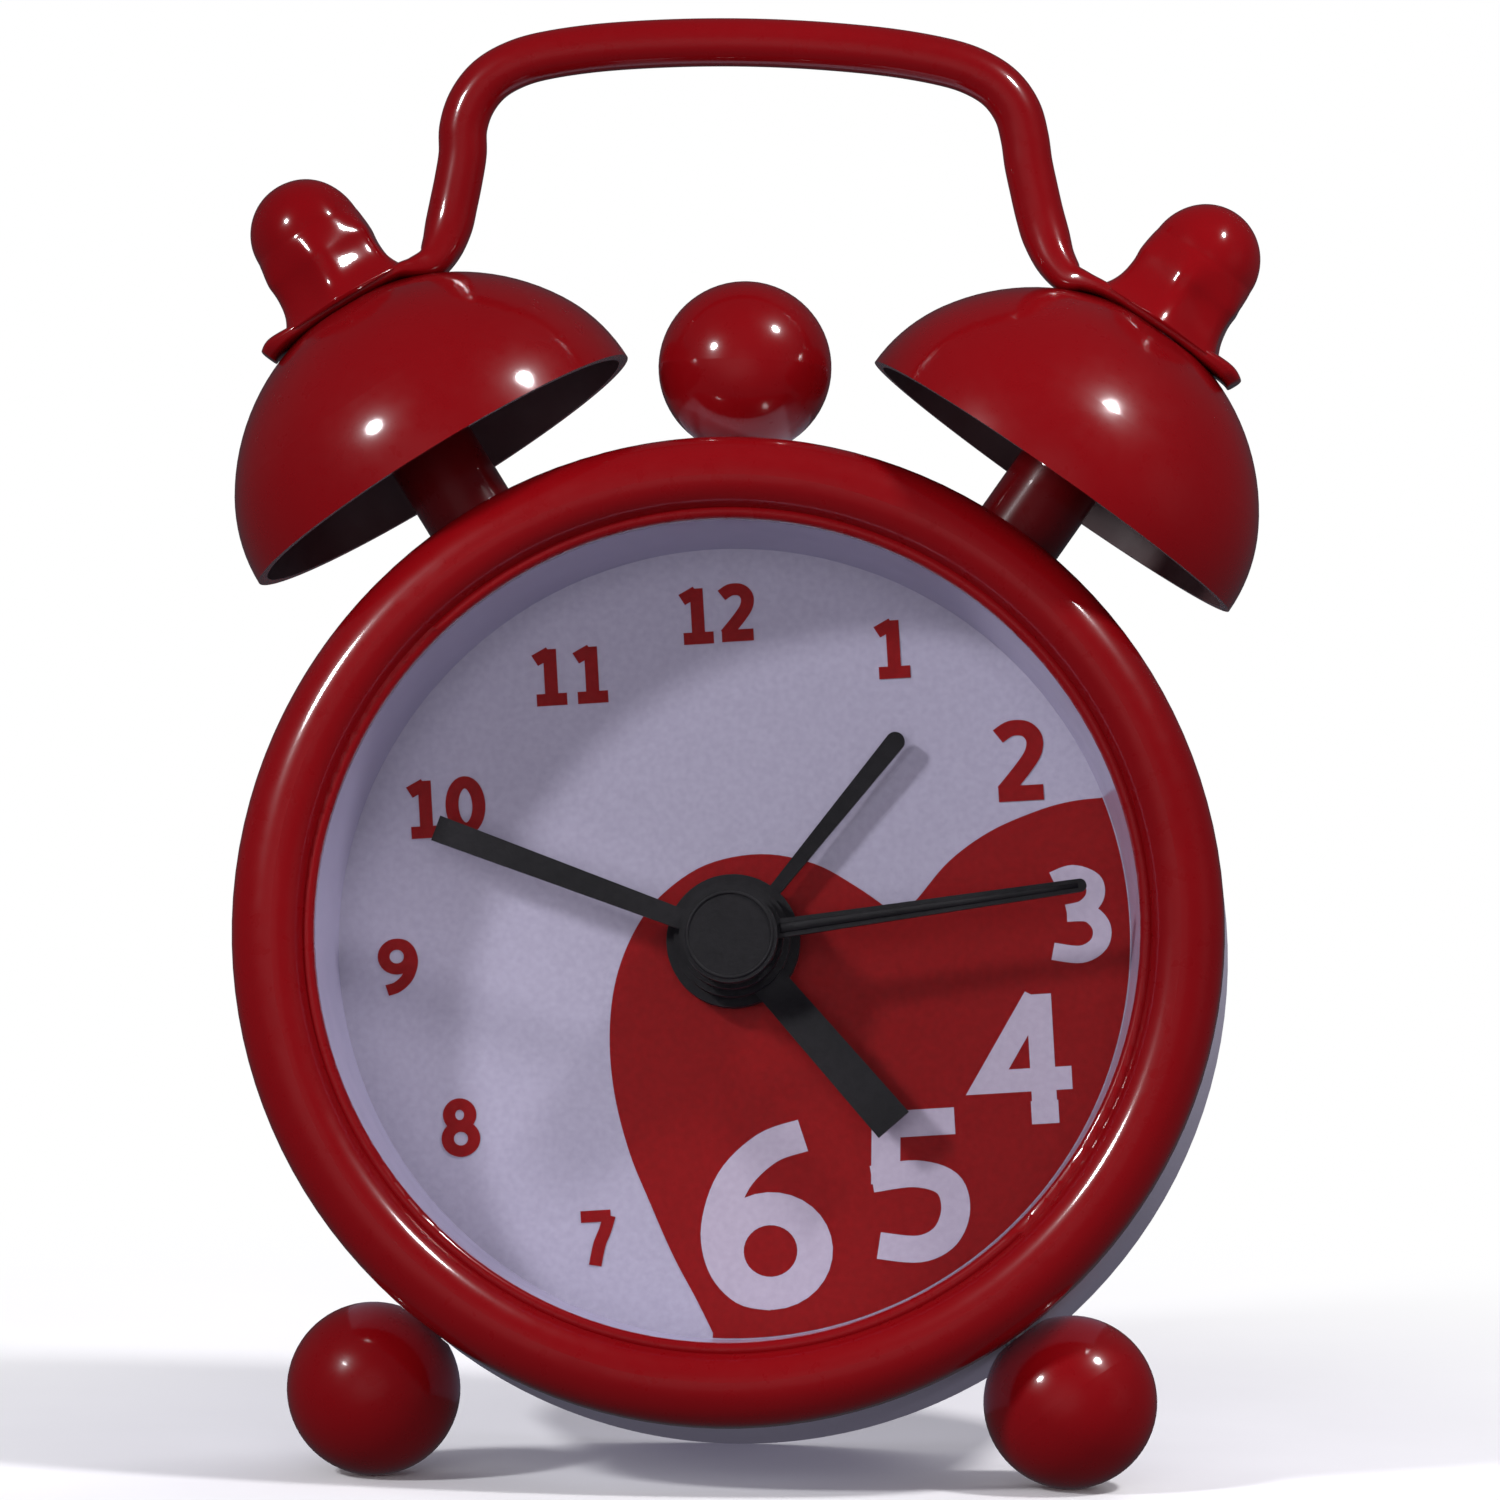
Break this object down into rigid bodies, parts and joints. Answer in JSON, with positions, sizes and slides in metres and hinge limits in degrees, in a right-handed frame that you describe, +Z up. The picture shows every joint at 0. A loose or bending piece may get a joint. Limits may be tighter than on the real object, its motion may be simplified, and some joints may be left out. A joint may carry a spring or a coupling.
{
  "type": "alarm clock",
  "caption": "Small round twin-bell desk alarm clock on two ball feet, with carrying handle, dial behind a lens and geared quartz movement.",
  "frame": {"origin": "centre of the bounding box's base, on the table", "axes": "+Z up, the dial faces -Y and leans back, +X to the right as the dial is read"},
  "size_m": [0.0592, 0.0348, 0.0831],
  "materials": {
    "red_lacquer": "thick glossy lacquer",
    "white_lacquer": "satin lacquer",
    "white_plastic": "satin moulded",
    "dial_print": "satin printed card",
    "clear_lens": "clear polished",
    "black_hands": "matt moulded",
    "black_plastic": "matt moulded",
    "natural_plastic": "moulded acetal",
    "steel": "zinc plated",
    "brass": "bright spring strip",
    "copper_winding": "enamelled wire",
    "board_green": "solder mask"
  },
  "bodies": {
    "clock": {"bezel_ring": "red_lacquer", "bell_left": "red_lacquer", "bell_right": "red_lacquer", "bell_post_left": "red_lacquer", "bell_post_right": "red_lacquer", "cap_nut_left": "red_lacquer", "cap_nut_right": "red_lacquer", "handle": "red_lacquer", "top_ball": "red_lacquer", "foot_left": "red_lacquer", "foot_right": "red_lacquer", "case_sleeve": "white_lacquer", "back_cover": "white_plastic", "slope_ring": "white_plastic", "dial": "dial_print", "lens": "clear_lens", "movement_case": "black_plastic", "buzzer": "black_plastic", "timer_chip": "black_plastic", "front_plate": "natural_plastic", "coil_bobbin": "natural_plastic", "bell_bolts": "steel", "ball_screws": "steel", "back_cover_screws": "steel", "movement_screws": "steel", "motor_screws": "steel", "button_cell": "steel", "quartz_crystal": "steel", "stator": "steel", "coil_core": "steel", "contact_plus": "brass", "contact_minus": "brass", "alarm_contact": "brass", "coil_winding": "copper_winding", "circuit_board": "board_green"},
    "second_arbor": {"second_hand": "black_hands", "second_wheel": "natural_plastic"},
    "rotor": {"rotor": "steel"},
    "intermediate_wheel": {"intermediate_wheel": "natural_plastic"},
    "third_wheel": {"third_wheel": "natural_plastic"},
    "centre_wheel": {"centre_wheel": "natural_plastic"},
    "minute_tube": {"minute_hand": "black_hands", "cannon_pinion": "natural_plastic"},
    "minute_wheel": {"minute_wheel": "natural_plastic", "time_set_knob": "black_plastic"},
    "hour_tube": {"hour_hand": "black_hands", "hour_wheel": "natural_plastic"},
    "alarm_tube": {"alarm_hand": "black_hands", "alarm_wheel": "natural_plastic"},
    "alarm_setting_wheel": {"alarm_setting_wheel": "natural_plastic", "alarm_set_knob": "black_plastic"},
    "alarm_switch": {"alarm_switch": "black_plastic"},
    "battery_door": {"battery_door": "white_plastic"}
  },
  "joints": [
    {"name": "second_spin", "type": "hinge", "parent": "clock", "child": "second_arbor", "pos_m": [-0.00029, 0.00206, 0.02954], "axis": [0, 0.9798, -0.1999], "continuous": true},
    {"name": "rotor_spin", "type": "hinge", "parent": "clock", "child": "rotor", "pos_m": [-0.00029, 0.00279, 0.01808], "axis": [0, 0.9798, -0.1999], "continuous": true},
    {"name": "intermediate_spin", "type": "hinge", "parent": "clock", "child": "intermediate_wheel", "pos_m": [-0.00029, 0.0036, 0.02208], "axis": [0, 0.9798, -0.1999], "continuous": true},
    {"name": "third_spin", "type": "hinge", "parent": "clock", "child": "third_wheel", "pos_m": [-0.00029, 0.00636, 0.0356], "axis": [0, 0.9798, -0.1999], "continuous": true},
    {"name": "centre_spin", "type": "hinge", "parent": "clock", "child": "centre_wheel", "pos_m": [-0.00029, 0.00559, 0.02882], "axis": [0, 0.9798, -0.1999], "continuous": true},
    {"name": "minute_spin", "type": "hinge", "parent": "clock", "child": "minute_tube", "pos_m": [-0.00029, 0.00206, 0.02954], "axis": [0, 0.9798, -0.1999], "continuous": true},
    {"name": "time_set_spin", "type": "hinge", "parent": "clock", "child": "minute_wheel", "pos_m": [0.00711, 0.00696, 0.02854], "axis": [0, 0.9798, -0.1999], "continuous": true},
    {"name": "hour_spin", "type": "hinge", "parent": "clock", "child": "hour_tube", "pos_m": [-0.00029, 0.00206, 0.02954], "axis": [0, 0.9798, -0.1999], "continuous": true},
    {"name": "alarm_spin", "type": "hinge", "parent": "clock", "child": "alarm_tube", "pos_m": [-0.00029, 0.00206, 0.02954], "axis": [0, 0.9798, -0.1999], "continuous": true},
    {"name": "alarm_set_spin", "type": "hinge", "parent": "clock", "child": "alarm_setting_wheel", "pos_m": [-0.00769, 0.00696, 0.02854], "axis": [0, 0.9798, -0.1999], "continuous": true},
    {"name": "battery_door_turn", "type": "hinge", "parent": "clock", "child": "battery_door", "pos_m": [-0.01329, 0.01328, 0.0395], "axis": [0, 0.9798, -0.1999], "range_deg": [0, 60]},
    {"name": "alarm_switch_slide", "type": "slide", "parent": "clock", "child": "alarm_switch", "axis": [1, 0, 0], "range_m": [0, 0.0025]}
  ],
  "couplings": [
    {"joint": "rotor_spin", "follows": "second_spin", "ratio": 30},
    {"joint": "intermediate_spin", "follows": "second_spin", "ratio": -6},
    {"joint": "third_spin", "follows": "second_spin", "ratio": -0.13333},
    {"joint": "centre_spin", "follows": "second_spin", "ratio": 0.016667},
    {"joint": "time_set_spin", "follows": "minute_spin", "ratio": -0.33333},
    {"joint": "hour_spin", "follows": "minute_spin", "ratio": 0.083333},
    {"joint": "alarm_set_spin", "follows": "alarm_spin", "ratio": -3}
  ]
}
